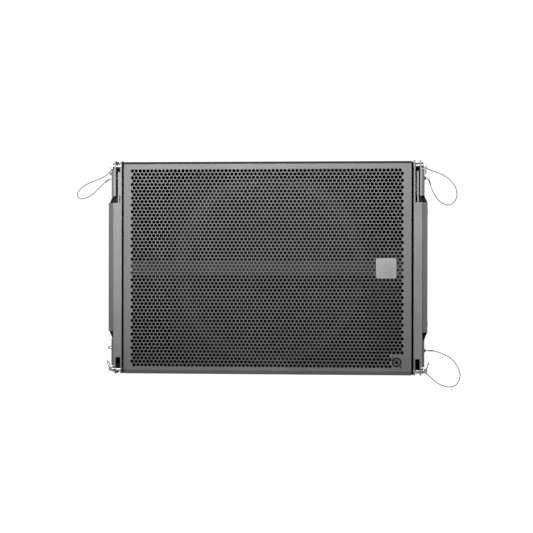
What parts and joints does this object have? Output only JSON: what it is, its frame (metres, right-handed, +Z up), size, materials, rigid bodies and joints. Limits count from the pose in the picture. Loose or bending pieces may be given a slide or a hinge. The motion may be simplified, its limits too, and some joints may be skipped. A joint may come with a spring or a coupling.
{
  "type": "line array speaker",
  "caption": "Flown line array loudspeaker: wide reflex cabinet with a large woofer behind a full perforated front, side rigging with lift-out links, ring pins and wire lanyards.",
  "frame": {"origin": "middle of the cabinet's top face, between the rigging frames that lift it", "axes": "+Z up, -Y out of the grille, +X to the right seen from the front"},
  "size_m": [0.9327, 0.7039, 0.5445],
  "materials": {
    "textured_coat": "coarse matt textured cabinet coat",
    "grille_steel": "satin powder coat on perforated steel",
    "rigging_steel": "smooth satin powder coat",
    "link_steel": "satin grey coat",
    "bright_steel": "bright plated steel",
    "wire_rope": "stranded steel wire in a dark sleeve",
    "badge_metal": "brushed",
    "black_plastic": "moulded",
    "plywood": "stained dark inside the cabinet",
    "cast_basket": "black painted casting",
    "magnet_steel": "dark plated plates on a ferrite ring",
    "cone_paper": "pressed paper",
    "surround_cloth": "doped cloth",
    "spider_cloth": "corrugated woven cloth",
    "coil_copper": "wound copper"
  },
  "bodies": {
    "cabinet": {"cabinet_top": "textured_coat", "cabinet_bottom": "textured_coat", "cabinet_side_left": "textured_coat", "cabinet_side_right": "textured_coat", "cabinet_rear": "textured_coat", "driver_baffle": "plywood", "front_brace": "textured_coat", "port_wall_left": "plywood", "port_wall_right": "plywood", "front_grille": "grille_steel", "badge_plate": "badge_metal", "front_socket": "black_plastic", "input_plate": "rigging_steel", "rear_socket_in": "black_plastic", "rear_socket_link": "black_plastic", "woofer_basket": "cast_basket", "woofer_surround": "surround_cloth", "woofer_spider": "spider_cloth", "woofer_magnet": "magnet_steel", "handle_cup_left": "black_plastic", "handle_cup_right": "black_plastic", "side_pan_left": "rigging_steel", "side_pan_right": "rigging_steel", "side_cheek_left": "textured_coat", "side_cheek_right": "textured_coat", "rig_channel_front_left": "rigging_steel", "rig_channel_front_right": "rigging_steel", "rig_channel_rear_left": "rigging_steel", "rig_channel_rear_right": "rigging_steel", "top_anchor_left": "bright_steel", "top_anchor_right": "bright_steel", "bottom_anchor_left": "bright_steel", "bottom_anchor_right": "bright_steel"},
    "cone_assembly": {"woofer_cone": "cone_paper", "woofer_dust_cap": "cone_paper", "voice_coil": "coil_copper"},
    "link_front_left": {"link_bar_front_left": "link_steel"},
    "top_pin_front_left": {"top_pin_front_left": "bright_steel", "top_lanyard_left": "wire_rope"},
    "top_ring_front_left": {"top_ring_front_left": "bright_steel"},
    "bottom_pin_front_left": {"bottom_pin_front_left": "bright_steel", "bottom_lanyard_left": "wire_rope"},
    "bottom_ring_front_left": {"bottom_ring_front_left": "bright_steel"},
    "link_rear_left": {"link_bar_rear_left": "link_steel"},
    "top_pin_rear_left": {"top_pin_rear_left": "bright_steel"},
    "top_ring_rear_left": {"top_ring_rear_left": "bright_steel"},
    "bottom_pin_rear_left": {"bottom_pin_rear_left": "bright_steel"},
    "bottom_ring_rear_left": {"bottom_ring_rear_left": "bright_steel"},
    "link_front_right": {"link_bar_front_right": "link_steel"},
    "top_pin_front_right": {"top_pin_front_right": "bright_steel", "top_lanyard_right": "wire_rope"},
    "top_ring_front_right": {"top_ring_front_right": "bright_steel"},
    "bottom_pin_front_right": {"bottom_pin_front_right": "bright_steel", "bottom_lanyard_right": "wire_rope"},
    "bottom_ring_front_right": {"bottom_ring_front_right": "bright_steel"},
    "link_rear_right": {"link_bar_rear_right": "link_steel"},
    "top_pin_rear_right": {"top_pin_rear_right": "bright_steel"},
    "top_ring_rear_right": {"top_ring_rear_right": "bright_steel"},
    "bottom_pin_rear_right": {"bottom_pin_rear_right": "bright_steel"},
    "bottom_ring_rear_right": {"bottom_ring_rear_right": "bright_steel"}
  },
  "joints": [
    {"name": "cone_travel", "type": "slide", "parent": "cabinet", "child": "cone_assembly", "axis": [0, -1, 0], "range_m": [-0.008, 0.008], "stiffness_N_per_m": 9000, "deforming": ["woofer_surround", "woofer_spider"]},
    {"name": "link_lift_front_left", "type": "slide", "parent": "cabinet", "child": "link_front_left", "axis": [0, 0, 1], "range_m": [0, 0.056]},
    {"name": "top_pin_pull_front_left", "type": "slide", "parent": "cabinet", "child": "top_pin_front_left", "axis": [-1, 0, 0], "range_m": [0, 0.025]},
    {"name": "top_ring_swing_front_left", "type": "hinge", "parent": "top_pin_front_left", "child": "top_ring_front_left", "pos_m": [-0.3811, -0.34, -0.01], "axis": [0, 1, 0], "range_deg": [0, 170]},
    {"name": "bottom_pin_pull_front_left", "type": "slide", "parent": "cabinet", "child": "bottom_pin_front_left", "axis": [-1, 0, 0], "range_m": [0, 0.025]},
    {"name": "bottom_ring_swing_front_left", "type": "hinge", "parent": "bottom_pin_front_left", "child": "bottom_ring_front_left", "pos_m": [-0.3811, -0.34, -0.502], "axis": [0, 1, 0], "range_deg": [-160, 10]},
    {"name": "link_lift_rear_left", "type": "slide", "parent": "cabinet", "child": "link_rear_left", "axis": [0, 0, 1], "range_m": [0, 0.056]},
    {"name": "top_pin_pull_rear_left", "type": "slide", "parent": "cabinet", "child": "top_pin_rear_left", "axis": [-1, 0, 0], "range_m": [0, 0.025]},
    {"name": "top_ring_swing_rear_left", "type": "hinge", "parent": "top_pin_rear_left", "child": "top_ring_rear_left", "pos_m": [-0.3811, 0.34, -0.01], "axis": [0, 1, 0], "range_deg": [0, 170]},
    {"name": "bottom_pin_pull_rear_left", "type": "slide", "parent": "cabinet", "child": "bottom_pin_rear_left", "axis": [-1, 0, 0], "range_m": [0, 0.025]},
    {"name": "bottom_ring_swing_rear_left", "type": "hinge", "parent": "bottom_pin_rear_left", "child": "bottom_ring_rear_left", "pos_m": [-0.3811, 0.34, -0.502], "axis": [0, 1, 0], "range_deg": [-160, 10]},
    {"name": "link_lift_front_right", "type": "slide", "parent": "cabinet", "child": "link_front_right", "axis": [0, 0, 1], "range_m": [0, 0.056]},
    {"name": "top_pin_pull_front_right", "type": "slide", "parent": "cabinet", "child": "top_pin_front_right", "axis": [1, 0, 0], "range_m": [0, 0.025]},
    {"name": "top_ring_swing_front_right", "type": "hinge", "parent": "top_pin_front_right", "child": "top_ring_front_right", "pos_m": [0.3811, -0.34, -0.01], "axis": [0, -1, 0], "range_deg": [0, 170]},
    {"name": "bottom_pin_pull_front_right", "type": "slide", "parent": "cabinet", "child": "bottom_pin_front_right", "axis": [1, 0, 0], "range_m": [0, 0.025]},
    {"name": "bottom_ring_swing_front_right", "type": "hinge", "parent": "bottom_pin_front_right", "child": "bottom_ring_front_right", "pos_m": [0.3811, -0.34, -0.502], "axis": [0, -1, 0], "range_deg": [-160, 10]},
    {"name": "link_lift_rear_right", "type": "slide", "parent": "cabinet", "child": "link_rear_right", "axis": [0, 0, 1], "range_m": [0, 0.056]},
    {"name": "top_pin_pull_rear_right", "type": "slide", "parent": "cabinet", "child": "top_pin_rear_right", "axis": [1, 0, 0], "range_m": [0, 0.025]},
    {"name": "top_ring_swing_rear_right", "type": "hinge", "parent": "top_pin_rear_right", "child": "top_ring_rear_right", "pos_m": [0.3811, 0.34, -0.01], "axis": [0, -1, 0], "range_deg": [0, 170]},
    {"name": "bottom_pin_pull_rear_right", "type": "slide", "parent": "cabinet", "child": "bottom_pin_rear_right", "axis": [1, 0, 0], "range_m": [0, 0.025]},
    {"name": "bottom_ring_swing_rear_right", "type": "hinge", "parent": "bottom_pin_rear_right", "child": "bottom_ring_rear_right", "pos_m": [0.3811, 0.34, -0.502], "axis": [0, -1, 0], "range_deg": [-160, 10]}
  ]
}
